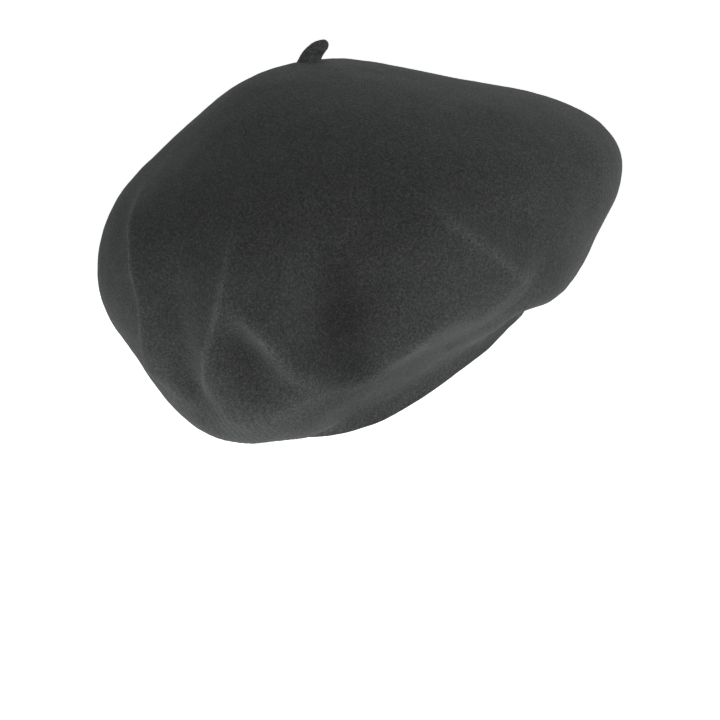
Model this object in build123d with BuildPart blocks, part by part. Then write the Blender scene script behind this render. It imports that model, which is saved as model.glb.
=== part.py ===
"""A felt beret as it sits on a head: felt body, stalk, sweatband, elastic, lining, label and thread.

Millimetres. The origin is the centre of the head opening, +Z is up and -Y is the wearer's front,
so the wearer's right ear is on -X. The beret is pulled down at the back and a little to the left,
so its head opening slopes up towards the front and towards the right ear.
"""

from build123d import *
import os
from math import cos, hypot, pi, radians, sin

# Head opening, measured round the outside of the felt
OPENING_LENGTH = 179.0  # front to back
OPENING_WIDTH = 149.0  # ear to ear
SLOPE_BACK = 0.35  # fall of the opening per millimetre towards the back
SLOPE_SIDE = 0.17  # fall of the opening per millimetre towards the left ear

# Felt and crown
FELT = 2.4  # felt thickness
COLLAR = 10.0  # height of the felt that stands close to the head
CROWN_RATIO_Y = 1.03  # front to back half length of a crown section over its mean radius
CROWN_RATIO_X = 0.96  # ear to ear half length over the same mean radius
CROWN_TOP = (24.0, 25.0, 163.0)  # middle of the crown, where the stalk stands

# Stalk, a stub of felt that leans to the front right and springs back when it is bent
STALK_ROOT_R = 4.2
STALK_TIP_R = 2.3
STALK_LENGTH = 11.0  # from the centre of the rounded root to the centre of the rounded tip
STALK_LEAN = radians(45.0)  # from upright
STALK_HEADING = radians(37.0)  # the way that it leans, from the front towards the right ear
STALK_GAP = 0.4  # air between the rounded root and the crown

# Sweatband, a ribbed ribbon whose ends meet at the back, and the elastic tape behind it
BAND_WIDTH = 25.0
BAND_THICK = 0.9
BAND_RAISE = 1.5  # height of its lower edge above the felt edge
BAND_SLIT = 0.5  # gap between its two ends
CHANNEL = 1.6  # room for the elastic between felt and sweatband
ELASTIC_WIDTH = 6.0
ELASTIC_THICK = 1.0
ELASTIC_RAISE = 5.0
ELASTIC_GAP = 0.2  # air between elastic and felt

# Lining, sewn behind the top of the sweatband
LINING = 0.7
LINING_TUCK = 4.0  # how far it reaches down behind the sweatband
LINING_GAP = 0.3

# Bow that covers the join of the sweatband
BOW_RAISE = 16.0  # height of its middle above the felt edge
BOW_WIDTH = 6.0  # width of its ribbon
BOW_RIBBON = 0.5  # thickness of its ribbon
BOW_LOOP = (2.2, 7.0)  # half sizes of one loop, away from the sweatband and along it
BOW_KNOT = (4.0, 3.6, 7.0)  # away from the sweatband, along it, and up
BOW_STANDOFF = 2.2
BOW_TAIL = 13.0
BOW_TAIL_WIDTH = 4.0
BOW_TAIL_OUT = 4.8  # from the knot's middle to the middle of each tail
BOW_TAIL_TURN = 24.0  # degrees that each tail leans outwards

# Blank label on the sweatband by the left ear
LABEL_WIDTH = 28.0
LABEL_HEIGHT = 15.0
LABEL_THICK = 0.5
LABEL_RAISE = 6.0
LABEL_GAP = 0.1
LABEL_HEM = 1.5  # from the label's edge to its stitches

# Thread
THREAD_R = 0.35
STITCH = 3.4  # visible length of one running stitch
STITCH_PITCH = 6.0
SEAM_BAR = 4.0  # length of each bar across the sweatband's join
SEAM_BARS = 6
HEM = 2.2  # from an edge of the sweatband to its row of stitches
TACK_BARS = 3
TACK_LENGTH = 10.0
TACK_R = 0.5


def slope_plane(centre, share):
    """Plane through a point that slopes like the head opening, times a share of 0 to 1."""
    back = SLOPE_BACK * share
    side = SLOPE_SIDE * share
    return Plane(origin=centre, x_dir=(0, -1, back), z_dir=(side, back, 1))


def crown_section(centre, share, radius):
    """Section of the crown, a little longer from front to back than from ear to ear."""
    return slope_plane(centre, share), radius * CROWN_RATIO_Y, radius * CROWN_RATIO_X


def inset(sections, depth):
    """The same sections for a surface that lies a depth inside, square to the first surface."""
    first_plane, first_long, first_wide = sections[0]
    last_plane, last_long, last_wide = sections[-1]
    inner = [(first_plane, first_long - depth, first_wide - depth)]
    for below, here, above in zip(sections, sections[1:], sections[2:]):
        plane, half_long, half_wide = here
        rise = (above[0].origin - below[0].origin).dot(plane.z_dir)
        spread = above[1] - below[1]
        reach = hypot(rise, spread)
        in_step = depth * rise / reach
        up_step = depth * spread / reach
        inner.append((plane.offset(up_step), half_long - in_step, half_wide - in_step))
    inner.append((last_plane.offset(-depth), last_long, last_wide))
    return inner


def dome(foot, height, sections):
    """Solid that rises straight from its foot, then runs through the sections to a closed top."""
    _, half_long, half_wide = sections[0]
    with BuildPart() as solid:
        with BuildSketch(foot):
            Ellipse(half_long, half_wide)
        extrude(amount=height)
        for section_plane, long_half, wide_half in sections:
            with BuildSketch(section_plane):
                Ellipse(long_half, wide_half)
        loft()
    return solid.part


# The opening's own plane: local +x is the front, local +y the left ear
RIM = slope_plane((0, 0, 0), 1.0)
RIM_LONG = OPENING_LENGTH / 2
RIM_WIDE = OPENING_WIDTH / 2

# Half sizes of the sweatband's two faces
BAND_OUT_LONG = RIM_LONG - FELT - CHANNEL
BAND_OUT_WIDE = RIM_WIDE - FELT - CHANNEL
BAND_IN_LONG = BAND_OUT_LONG - BAND_THICK
BAND_IN_WIDE = BAND_OUT_WIDE - BAND_THICK
BAND_TOP = BAND_RAISE + BAND_WIDTH


def ellipse_turns(half_long, half_wide, pitch):
    """Turns round an ellipse, about one pitch apart."""
    girth = 2 * pi * hypot(half_long, half_wide) / hypot(1, 1)
    count = round(girth / pitch)
    return [2 * pi * (i + 0.5) / count for i in range(count)]


def stitch_places(plane, half_long, half_wide, turns):
    """Places of running stitches, each with its z along the ellipse."""
    places = []
    for turn in turns:
        point = Vector(half_long * cos(turn), half_wide * sin(turn), 0)
        along = Vector(-half_long * sin(turn), half_wide * cos(turn), 0)
        start = plane.from_local_coords(point)
        ahead = plane.from_local_coords(point + along)
        places.append(Plane(origin=start, z_dir=ahead - start).location)
    return places


# ---------------------------------------------------------------- felt body
FELT_SECTIONS = [
    (RIM.offset(COLLAR), RIM_LONG, RIM_WIDE),
    crown_section((5, 7, 16), 0.80, 103),
    crown_section((7, 10, 42), 0.45, 124),
    crown_section((6, 8, 72), 0.35, 135),
    crown_section((4, 6, 101), 0.30, 133),
    crown_section((3, 4, 128), 0.25, 111),
    crown_section((11, 13, 151.5), 0.16, 66),
    crown_section((21, 22, 161.5), 0.10, 22),
    crown_section(CROWN_TOP, 0.05, 9),
]

with BuildPart() as felt_body:
    add(dome(RIM, COLLAR, FELT_SECTIONS))
    add(dome(RIM, COLLAR, inset(FELT_SECTIONS, FELT)), mode=Mode.SUBTRACT)
felt_body.part.label = "felt_body"

# ---------------------------------------------------------------- stalk
PIVOT = Vector(*CROWN_TOP) + Vector(0, 0, STALK_ROOT_R + STALK_GAP)
STALK_WAY = Vector(
    -sin(STALK_LEAN) * sin(STALK_HEADING),
    -sin(STALK_LEAN) * cos(STALK_HEADING),
    cos(STALK_LEAN),
)
HINGE_WAY = Vector(-cos(STALK_HEADING), sin(STALK_HEADING), 0)
STALK_PLANE = Plane(origin=PIVOT, x_dir=STALK_WAY, z_dir=HINGE_WAY)

with BuildPart() as stalk:
    with BuildSketch(STALK_PLANE):
        Circle(STALK_ROOT_R)
        with Locations((STALK_LENGTH, 0)):
            Circle(STALK_TIP_R)
        make_hull()
        split(bisect_by=Plane.XZ)
    revolve(axis=Axis(PIVOT, STALK_WAY))
stalk.part.label = "stalk"

# Bars of thread under the crown that hold the stalk's root
TACK_CENTRE = Vector(*CROWN_TOP) - Vector(0, 0, FELT + TACK_R)
TACK_PLACES = [
    Location(TACK_CENTRE, (0, 0, 180 * i / TACK_BARS)) * Location((0, 0, 0), (90, 0, 0))
    for i in range(TACK_BARS)
]

with BuildPart() as stalk_tacks:
    with Locations(*TACK_PLACES):
        Cylinder(TACK_R, TACK_LENGTH)
stalk_tacks.part.label = "stalk_tacks"

# ---------------------------------------------------------------- sweatband and elastic
with BuildPart() as sweatband:
    with BuildSketch(RIM.offset(BAND_RAISE)):
        Ellipse(BAND_OUT_LONG, BAND_OUT_WIDE)
        Ellipse(BAND_IN_LONG, BAND_IN_WIDE, mode=Mode.SUBTRACT)
        with Locations((-BAND_OUT_LONG, 0)):
            Rectangle(4 * BAND_THICK, BAND_SLIT, mode=Mode.SUBTRACT)
    extrude(amount=BAND_WIDTH)
sweatband.part.label = "sweatband"

ELASTIC_LONG = RIM_LONG - FELT - ELASTIC_GAP
ELASTIC_WIDE = RIM_WIDE - FELT - ELASTIC_GAP

with BuildPart() as rim_elastic:
    with BuildSketch(RIM.offset(ELASTIC_RAISE)):
        Ellipse(ELASTIC_LONG, ELASTIC_WIDE)
        Ellipse(ELASTIC_LONG - ELASTIC_THICK, ELASTIC_WIDE - ELASTIC_THICK, mode=Mode.SUBTRACT)
    extrude(amount=ELASTIC_WIDTH)
rim_elastic.part.label = "rim_elastic"

# ---------------------------------------------------------------- lining
LINING_LONG = BAND_OUT_LONG + LINING_GAP + LINING
LINING_WIDE = BAND_OUT_WIDE + LINING_GAP + LINING
SEAM_CENTRE = (8, 10, 114)
SEAM_SHARE = 0.28
SEAM_RADIUS = 80.0
SEAM_PLANE = slope_plane(SEAM_CENTRE, SEAM_SHARE)

LINING_FOOT = RIM.offset(BAND_TOP - LINING_TUCK)
LINING_SECTIONS = [
    (RIM.offset(BAND_TOP), LINING_LONG, LINING_WIDE),
    crown_section((5, 7, 52), 0.50, 94),
    crown_section((6, 8, 85), 0.35, 96),
    crown_section(SEAM_CENTRE, SEAM_SHARE, SEAM_RADIUS),
    crown_section((12, 14, 134), 0.20, 51),
    crown_section((17, 19, 144.5), 0.12, 22),
    crown_section((19, 21, 146), 0.08, 8),
]

with BuildPart() as lining:
    add(dome(LINING_FOOT, LINING_TUCK, LINING_SECTIONS))
    add(dome(LINING_FOOT, LINING_TUCK, inset(LINING_SECTIONS, LINING)), mode=Mode.SUBTRACT)

with BuildPart() as lining_side:
    add(lining.part)
    split(bisect_by=SEAM_PLANE, keep=Keep.BOTTOM)
lining_side.part.label = "lining_side"

with BuildPart() as lining_tip:
    add(lining.part)
    split(bisect_by=SEAM_PLANE, keep=Keep.TOP)
lining_tip.part.label = "lining_tip"

# ---------------------------------------------------------------- label
with BuildPart() as label:
    with BuildSketch(RIM.offset(BAND_RAISE + LABEL_RAISE)):
        Ellipse(BAND_IN_LONG - LABEL_GAP, BAND_IN_WIDE - LABEL_GAP)
        Ellipse(
            BAND_IN_LONG - LABEL_GAP - LABEL_THICK,
            BAND_IN_WIDE - LABEL_GAP - LABEL_THICK,
            mode=Mode.SUBTRACT,
        )
        with Locations((0, BAND_IN_WIDE)):
            Rectangle(LABEL_WIDTH, LABEL_WIDTH, mode=Mode.INTERSECT)
    extrude(amount=LABEL_HEIGHT)
label.part.label = "label"

# ---------------------------------------------------------------- bow
BOW_MIDDLE = -BAND_IN_LONG + BOW_STANDOFF + BOW_LOOP[0]
LOOP_PLACES = [(BOW_MIDDLE, side * BOW_LOOP[1]) for side in (-1, 1)]
TAIL_PLACES = [
    RIM.location
    * Location(
        (BOW_MIDDLE, side * BOW_TAIL_OUT, BOW_RAISE - BOW_TAIL / 2),
        (side * BOW_TAIL_TURN, 0, 0),
    )
    for side in (-1, 1)
]

with BuildPart() as bow_loops:
    with BuildSketch(RIM.offset(BOW_RAISE - BOW_WIDTH / 2)):
        with Locations(*LOOP_PLACES):
            Ellipse(*BOW_LOOP)
        with Locations(*LOOP_PLACES):
            Ellipse(BOW_LOOP[0] - BOW_RIBBON, BOW_LOOP[1] - BOW_RIBBON, mode=Mode.SUBTRACT)
    extrude(amount=BOW_WIDTH)
bow_loops.part.label = "bow_loops"

with BuildPart() as bow_tails:
    with Locations(*TAIL_PLACES):
        Box(BOW_RIBBON, BOW_TAIL_WIDTH, BOW_TAIL)
bow_tails.part.label = "bow_tails"

with BuildPart() as bow_knot:
    with BuildSketch(RIM.offset(BOW_RAISE - BOW_KNOT[2] / 2)):
        with Locations((BOW_MIDDLE, 0)):
            RectangleRounded(BOW_KNOT[0], BOW_KNOT[1], BOW_KNOT[1] / 3)
    extrude(amount=BOW_KNOT[2])
bow_knot.part.label = "bow_knot"

# ---------------------------------------------------------------- thread
BAND_TURNS = ellipse_turns(BAND_IN_LONG, BAND_IN_WIDE, STITCH_PITCH)
SEAM_LONG = SEAM_RADIUS * CROWN_RATIO_Y - LINING
SEAM_WIDE = SEAM_RADIUS * CROWN_RATIO_X - LINING
SEAM_TURNS = ellipse_turns(SEAM_LONG, SEAM_WIDE, STITCH_PITCH)


def band_stitches(height, turns, inset_by=0.0):
    """Stitch places on the sweatband's inner face, at a height above the felt edge."""
    half_long = BAND_IN_LONG - inset_by
    half_wide = BAND_IN_WIDE - inset_by
    return stitch_places(RIM.offset(height), half_long, half_wide, turns)


with BuildPart() as band_hem_stitches:
    with Locations(*band_stitches(BAND_RAISE + HEM, BAND_TURNS)):
        Cylinder(THREAD_R, STITCH)
band_hem_stitches.part.label = "band_hem_stitches"

with BuildPart() as band_top_stitches:
    with Locations(*band_stitches(BAND_TOP - HEM, BAND_TURNS)):
        Cylinder(THREAD_R, STITCH)
band_top_stitches.part.label = "band_top_stitches"

SEAM_STEP = (BAND_WIDTH - 2 * HEM) / SEAM_BARS
SEAM_PLACES = [
    band_stitches(BAND_RAISE + HEM + SEAM_STEP * (i + 0.5), [pi])[0] for i in range(SEAM_BARS)
]

with BuildPart() as band_seam_stitches:
    with Locations(*SEAM_PLACES):
        Cylinder(THREAD_R, SEAM_BAR)
band_seam_stitches.part.label = "band_seam_stitches"

with BuildPart() as lining_seam_stitches:
    with Locations(*stitch_places(SEAM_PLANE, SEAM_LONG, SEAM_WIDE, SEAM_TURNS)):
        Cylinder(THREAD_R, STITCH)
lining_seam_stitches.part.label = "lining_seam_stitches"

LABEL_STEP = STITCH_PITCH / BAND_IN_LONG
LABEL_TURNS = [pi / 2 + LABEL_STEP * i for i in (-1.5, -0.5, 0.5, 1.5)]
LABEL_ROWS = (LABEL_RAISE + LABEL_HEM, LABEL_RAISE + LABEL_HEIGHT - LABEL_HEM)
LABEL_PLACES = []
for row in LABEL_ROWS:
    LABEL_PLACES += band_stitches(BAND_RAISE + row, LABEL_TURNS, LABEL_GAP + LABEL_THICK)

with BuildPart() as label_stitches:
    with Locations(*LABEL_PLACES):
        Cylinder(THREAD_R, STITCH)
label_stitches.part.label = "label_stitches"

# ---------------------------------------------------------------- write
PIECES = [
    felt_body,
    stalk,
    stalk_tacks,
    sweatband,
    rim_elastic,
    lining_side,
    lining_tip,
    label,
    bow_loops,
    bow_tails,
    bow_knot,
    band_hem_stitches,
    band_top_stitches,
    band_seam_stitches,
    lining_seam_stitches,
    label_stitches,
]

os.makedirs("parts", exist_ok=True)
for piece in PIECES:
    export_step(piece.part, f"parts/{piece.part.label}.step")
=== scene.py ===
"""Visual model of a worn felt beret, in metres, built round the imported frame.

+Z is up, -Y is the wearer's front and -X the wearer's right ear. A turn of 0 degrees is the front
and 90 degrees the left ear; a height of 0 on the felt is its edge and 1 the middle of the crown.
"""

from math import cos, pi, radians, sin, sqrt

import bmesh
import bpy
import numpy as np
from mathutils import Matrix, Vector
from mathutils import noise as turbulence

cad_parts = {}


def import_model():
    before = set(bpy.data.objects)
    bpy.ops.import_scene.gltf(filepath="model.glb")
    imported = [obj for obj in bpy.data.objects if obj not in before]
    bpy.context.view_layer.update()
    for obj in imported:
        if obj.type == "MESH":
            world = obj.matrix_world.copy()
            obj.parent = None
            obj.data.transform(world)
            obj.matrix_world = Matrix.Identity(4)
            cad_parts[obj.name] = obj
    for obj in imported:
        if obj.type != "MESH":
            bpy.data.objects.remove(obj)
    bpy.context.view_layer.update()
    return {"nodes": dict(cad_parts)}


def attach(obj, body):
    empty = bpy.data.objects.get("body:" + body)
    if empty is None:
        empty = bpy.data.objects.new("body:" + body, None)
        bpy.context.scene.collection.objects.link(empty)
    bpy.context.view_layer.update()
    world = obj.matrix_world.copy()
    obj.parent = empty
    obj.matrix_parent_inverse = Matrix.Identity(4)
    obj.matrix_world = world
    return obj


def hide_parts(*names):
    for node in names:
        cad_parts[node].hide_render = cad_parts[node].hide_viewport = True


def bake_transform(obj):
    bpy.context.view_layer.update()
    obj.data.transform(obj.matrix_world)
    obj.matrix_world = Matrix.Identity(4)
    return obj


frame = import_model()

MM = 0.001

# ---- felt surface
# Fall of the head opening per metre towards the back and towards the left ear
SLOPE_BACK = 0.35
SLOPE_SIDE = 0.17
UP = np.array([SLOPE_SIDE, SLOPE_BACK, 1]) / np.linalg.norm([SLOPE_SIDE, SLOPE_BACK, 1])
FELT = 2.4 * MM  # thickness

# Rings of the felt from its edge to the crown: centre, share of the opening's slope,
# half length front to back, half width ear to ear, in millimetres
RINGS = [
    ((0, 0, 0), 1.0, 89.5, 74.5),
    ((2, 3, 9), 0.98, 95, 82.5),
    ((5, 7, 17), 0.80, 106, 100),
    ((7, 10, 30), 0.58, 119, 111),
    ((7, 10, 44), 0.45, 129, 120),
    ((6, 8, 72), 0.35, 139, 130),
    ((4, 6, 101), 0.30, 137, 128),
    ((3, 4, 128), 0.25, 114, 107),
    ((11, 13, 152), 0.16, 68, 63),
    ((21, 22, 163), 0.10, 23, 21),
    ((24, 25, 165), 0.05, 0, 0),
]


def ring_points(ring, turns):
    """Points of one ring at these turns, in metres."""
    centre, share, long_half, wide_half = ring
    front = np.array([0, -1, SLOPE_BACK * share])
    up = np.array([SLOPE_SIDE * share, SLOPE_BACK * share, 1])
    front = front / np.linalg.norm(front)
    left = np.cross(up / np.linalg.norm(up), front)
    across = np.cos(turns)[:, None] * front * long_half + np.sin(turns)[:, None] * left * wide_half
    return (np.array(centre) + across) * MM


def smooth_step(share):
    """A share of 0 to 1, eased at both ends."""
    return share * share * (3 - 2 * share)


def run_length(points):
    """Distance from the first point to each point along a line of them."""
    steps = np.linalg.norm(np.diff(points, axis=0), axis=1)
    return np.concatenate([[0], np.cumsum(steps)])


def ring_knots(rows):
    """Mean distance from the first ring of points to each ring."""
    gaps = np.linalg.norm(np.diff(rows, axis=0), axis=2).mean(1)
    return np.concatenate([[0], np.cumsum(gaps)])


def spline(knots, values, at):
    """Natural cubic spline through values at the knots, read at these places."""
    count = len(knots)
    step = np.diff(knots)
    shape = (-1,) + (1,) * (values.ndim - 1)
    rise = np.diff(values, axis=0) / step.reshape(shape)
    system = np.eye(count)
    right = np.zeros_like(values)
    for i in range(1, count - 1):
        system[i, i - 1 : i + 2] = step[i - 1], 2 * (step[i - 1] + step[i]), step[i]
        right[i] = 6 * (rise[i] - rise[i - 1])
    bend = np.linalg.solve(system, right.reshape(count, -1)).reshape(values.shape)
    low = np.clip(np.searchsorted(knots, at, "right") - 1, 0, count - 2)
    width = step[low].reshape(shape)
    ahead = ((at - knots[low]) / step[low]).reshape(shape)
    behind = 1 - ahead
    line = behind * values[low] + ahead * values[low + 1]
    curve = (behind**3 - behind) * bend[low] + (ahead**3 - ahead) * bend[low + 1]
    return line + curve * width**2 / 6


def smooth_grid(turns, heights):
    """The felt's outer face with no folds: points by height and turn."""
    rows = np.array([ring_points(ring, turns) for ring in RINGS])
    knots = ring_knots(rows)
    return spline(knots / knots[-1], rows, heights)


# The felt laid flat, for measuring along it: radius of its girth, and way from edge to crown
GIRTH_R = 130.0
MERIDIAN = 290.0

# Folds that stand out of the felt: points (turn, height); then in millimetres the lift, the
# widths to its left and its right as it runs, seen from outside, and the roundness of its crest;
# then the shares of its length over which it starts and ends
FOLDS = [
    # crisp crease near the back left, where the felt laps over itself
    (((163, 0.55), (172, 0.49), (179, 0.435), (182, 0.385), (184, 0.325), (181, 0.25), (178, 0.19)),
     5.5, 26, 3.5, 0.4, 0.3, 0.12),
    # long soft ridge down the back
    (((204, 0.62), (207, 0.47), (208, 0.41), (207, 0.365), (205, 0.315), (202, 0.265),
      (199.5, 0.222), (195, 0.178)), 6.0, 26, 9, 0.8, 0.4, 0.15),
    # diagonal ridge that leaves it towards the right
    (((207, 0.315), (212, 0.312), (215, 0.287), (218, 0.257), (221, 0.22), (225, 0.19),
      (231, 0.17), (238, 0.16)), 5.5, 18, 8, 1.6, 0.25, 0.35),
    # ridge over the right ear
    (((240, 0.53), (246, 0.488), (250, 0.451), (254, 0.42), (258, 0.393), (263, 0.363),
      (269, 0.322), (279, 0.26)), 6.5, 9, 30, 0.6, 0.4, 0.12),
    # groove down the middle of the back
    (((221, 0.56), (226, 0.46), (230, 0.38), (232, 0.30), (233, 0.22)),
     -5.0, 12, 12, 5.0, 0.5, 0.3),
    # lower edge of the crown, where the felt turns under towards the head
    (((182, 0.13), (196, 0.15), (208, 0.158), (218, 0.163), (226, 0.163), (233, 0.145),
      (239, 0.145), (246, 0.19), (251, 0.235), (257, 0.26), (264, 0.26), (273, 0.245)),
     7.0, 14, 16, 2.8, 0.3, 0.4),
    # soft folds round the left side and the front
    (((128, 0.52), (134, 0.42), (137, 0.32), (136, 0.22)), 3.5, 9, 24, 1.5, 0.5, 0.3),
    (((98, 0.44), (103, 0.36), (104, 0.28), (101, 0.19)), 4.0, 22, 8, 1.2, 0.5, 0.3),
    (((62, 0.50), (66, 0.40), (66, 0.29), (61, 0.20)), 3.5, 12, 20, 2.2, 0.5, 0.3),
    (((20, 0.40), (25, 0.32), (26, 0.25), (22, 0.17)), 3.0, 16, 10, 1.8, 0.5, 0.3),
    (((345, 0.34), (341, 0.28), (338, 0.22), (339, 0.16)), 2.5, 12, 16, 2.0, 0.5, 0.3),
]
# Broad hollows (negative) and swells: turn, height, half sizes along the turn and the height,
# degrees that they lean, lift; sizes and lift in millimetres
SWELLS = [
    (233, 0.25, 22, 50, 0, -11),  # valley down the middle of the back
    (194, 0.262, 13, 36, 0, -5.5),  # between the crease and the long ridge
    (211, 0.258, 11, 17, 25, -7),  # pocket between the long ridge and the diagonal one
    (287, 0.385, 34, 38, 35, -3),  # hollow above the right ear
    (271, 0.385, 40, 14, -39, -4),
    (288, 0.20, 30, 20, 0, 5),
    (250, 0.12, 44, 22, 0, -6.5),  # underside over the right ear
    (150, 0.20, 40, 20, 0, -6),  # underside at the back left
    (160, 0.14, 16, 16, 0, -3.2),
    (158, 0.34, 34, 30, 0, 2.5),  # fullness of the back left
    (150, 0.55, 30, 30, 0, 1.3),
    (320, 0.46, 50, 22, 0, 1.6),  # front right, full at its widest
    (318, 0.29, 50, 20, 0, -2.5),
    (306, 0.15, 40, 20, 0, 5.2),  # underside before the right ear
    (312, 0.20, 16, 16, 0, 1.2),
    (297, 0.08, 16, 14, 0, -4.2),
    (285, 0.14, 12, 12, 0, -3.9),
    (5, 0.67, 66, 45, 0, -5),  # slopes of the crown
    (30, 0.93, 150, 16, 0, 1.2),
    (325, 0.58, 40, 20, 0, 0.5),
    (125, 0.66, 70, 60, 0, -2),
    (345, 0.78, 60, 24, 0, -2.3),
    (130, 0.84, 90, 24, 0, -0.8),
    (118, 0.27, 18, 40, 0, -5),  # hollows between the folds of the left side and the front
    (82, 0.30, 20, 46, 0, -5),
    (42, 0.26, 20, 40, 0, -4),
    (5, 0.24, 18, 30, 0, -3),
]
# Where the felt hangs down under its own weight: turn, height, half sizes, drop, in millimetres
SAGS = [(196, 0.11, 50, 24, 16), (218, 0.06, 22, 18, 4)]
# Height below which the sweatband holds the felt up
HELD = 0.06

FOLD_STEPS = 60  # points at which the way to a fold is measured
CREST_LINE = 2.0  # half width of the lighter line on a crest, from wear and painted highlight, as a multiple of its roundness
SHARP_CREST = 1.2  # roundness of the softest crest whose line still gets the full wear and painted highlight, in millimetres
DEEP = 16.0  # depth of a hollow that gets the full painted shade, in millimetres


def flat_place(turn_degrees, height):
    """Place on the felt laid flat, in millimetres."""
    return np.array([np.radians(turn_degrees) * GIRTH_R, height * MERIDIAN])


def folds_lift(turns, heights):
    """Height of all folds and swells over the smooth felt, in metres, and how far each place is
    lightened along a crest by wear and painted highlight (up to 1) or darkened by painted shade in
    a groove or hollow (down to -1)."""
    a, b = np.meshgrid(turns * GIRTH_R, heights * MERIDIAN)
    lift = np.zeros_like(a)
    wear_and_painted_light = np.zeros_like(a)
    whole = 2 * pi * GIRTH_R
    for points, high, width_left, width_right, crest, fade_in, fade_out in FOLDS:
        knots = np.array([flat_place(*p) for p in points])
        at = np.linspace(0, 1, FOLD_STEPS)
        path = spline(np.linspace(0, 1, len(knots)), knots, at)
        way = np.gradient(path, axis=0)
        way /= np.linalg.norm(way, axis=1)[:, None]
        middle = path[:, 0].mean()
        da = (a - middle + whole / 2) % whole - whole / 2 + middle
        best = np.full(a.shape, np.inf)
        side = np.zeros_like(a)
        along = np.zeros_like(a)
        for i in range(len(path)):
            x = da - path[i, 0]
            y = b - path[i, 1]
            gap = np.hypot(x, y)
            nearer = gap < best
            best = np.where(nearer, gap, best)
            side = np.where(nearer, way[i, 0] * y - way[i, 1] * x, side)
            along = np.where(nearer, at[i], along)
        width = np.where(side > 0, width_left, width_right)
        profile = np.exp(-(np.sqrt(best**2 + crest**2) - crest) / width)
        ends = np.clip(along / fade_in, 0, 1) * np.clip((1 - along) / fade_out, 0, 1)
        ends = smooth_step(ends)
        lift += high * profile * ends
        # a crest gets a lighter line, partly wear and partly painted highlight; a groove gets a
        # darker line of painted shade
        line = np.exp(-((best / (CREST_LINE * max(1, crest))) ** 2))
        wear_and_painted_light += np.sign(high) * line * ends * min(1, SHARP_CREST / crest)
    for turn, height, half_a, half_b, lean, depth in SWELLS:
        place = flat_place(turn, height)
        x = (a - place[0] + whole / 2) % whole - whole / 2
        y = b - place[1]
        c, s = cos(radians(lean)), sin(radians(lean))
        x, y = c * x + s * y, c * y - s * x
        swell = np.exp(-((x / half_a) ** 2 + (y / half_b) ** 2))
        lift += depth * swell
        # hollows get painted shade, darker the deeper they are
        wear_and_painted_light += min(0, depth) / DEEP * swell
    return lift * MM, np.clip(wear_and_painted_light, -1, 1)


def hang(turns, heights):
    """How far the felt drops under its own weight, in metres."""
    a, b = np.meshgrid(np.degrees(turns), heights * MERIDIAN)
    drop = np.zeros_like(a)
    for turn, height, half_a, half_b, low in SAGS:
        x = ((a - turn + 180) % 360 - 180) * radians(1) * GIRTH_R
        y = b - height * MERIDIAN
        drop += low * np.exp(-((x / half_a) ** 2 + (y / half_b) ** 2))
    free = np.clip(b / MERIDIAN / HELD, 0, 1)
    return drop * smooth_step(free) * MM


def grid_normals(points):
    """Outward unit normals of a grid of points that closes on itself along its turns."""
    along_turn = np.roll(points, -1, 1) - np.roll(points, 1, 1)
    along_height = np.gradient(points, axis=0)
    normals = np.cross(along_turn, along_height)
    size = np.linalg.norm(normals, axis=2, keepdims=True)
    return normals / np.maximum(size, 1e-12)


# How the felt's edge rises and hangs round the head: turn, half span in degrees, rise in
# millimetres; the rise fades out to nothing this far above the opening, in millimetres
RIM_WAVES = [(303, 34, 6), (237, 22, -3.5), (190, 24, 7.1)]
RIM_WAVE_TOP = 60.0


def rim_rise(turns, above):
    """Rise of whatever sits at these turns, this far above the opening, in metres."""
    rise = np.zeros(np.broadcast(turns, above).shape)
    for turn, span, high in RIM_WAVES:
        apart = (np.degrees(turns) - turn + 180) % 360 - 180
        rise = rise + high * np.exp(-((apart / span) ** 2))
    fade = np.clip(1 - above / (RIM_WAVE_TOP * MM), 0, 1)
    return rise * smooth_step(fade) * MM


def felt_grid(turns, heights, wear_and_shade=False):
    """Outer face of the felt, with its folds, and if asked its wear, painted highlight and painted
    shade too.
    """
    smooth = smooth_grid(turns, heights)
    above = smooth @ UP
    lift, wear_and_painted_light = folds_lift(turns, heights)
    grid = smooth + grid_normals(smooth) * lift[:, :, None]
    grid[:, :, 2] += rim_rise(turns[None, :], above) - hang(turns, heights)
    return (grid, wear_and_painted_light) if wear_and_shade else grid


# ---- meshes
WELD = 1e-7  # points of a sheet's section that are this close are one point


def link(name, data):
    """Object of a mesh, lamp or camera, in the scene."""
    thing = bpy.data.objects.new(name, data)
    bpy.context.scene.collection.objects.link(thing)
    return thing


def smooth_shade(mesh):
    """Shade all faces smooth."""
    mesh.polygons.foreach_set("use_smooth", [True] * len(mesh.polygons))
    mesh.update()


def set_flats(mesh, flats):
    """Give each face corner its flat coordinates, in metres."""
    layer = mesh.uv_layers.new(name="flat")
    layer.data.foreach_set("uv", np.array(flats, np.float32).reshape(-1))


def built_mesh(name, verts, faces, flats=None, weld=False):
    """Smooth mesh whose faces all look outwards."""
    mesh = bpy.data.meshes.new(name)
    mesh.from_pydata(verts, [], faces)
    if flats:
        set_flats(mesh, flats)
    shape = bmesh.new()
    shape.from_mesh(mesh)
    if weld:
        bmesh.ops.remove_doubles(shape, verts=shape.verts, dist=WELD)
    bmesh.ops.recalc_face_normals(shape, faces=shape.faces)
    shape.to_mesh(mesh)
    shape.free()
    smooth_shade(mesh)
    return mesh


def quad(i, j, columns, base=0):
    """Face of a grid from row i and column j to the next ones, numbered from base."""
    k = (j + 1) % columns
    here, beyond = base + i * columns, base + (i + 1) * columns
    return here + j, here + k, beyond + k, beyond + j


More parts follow.
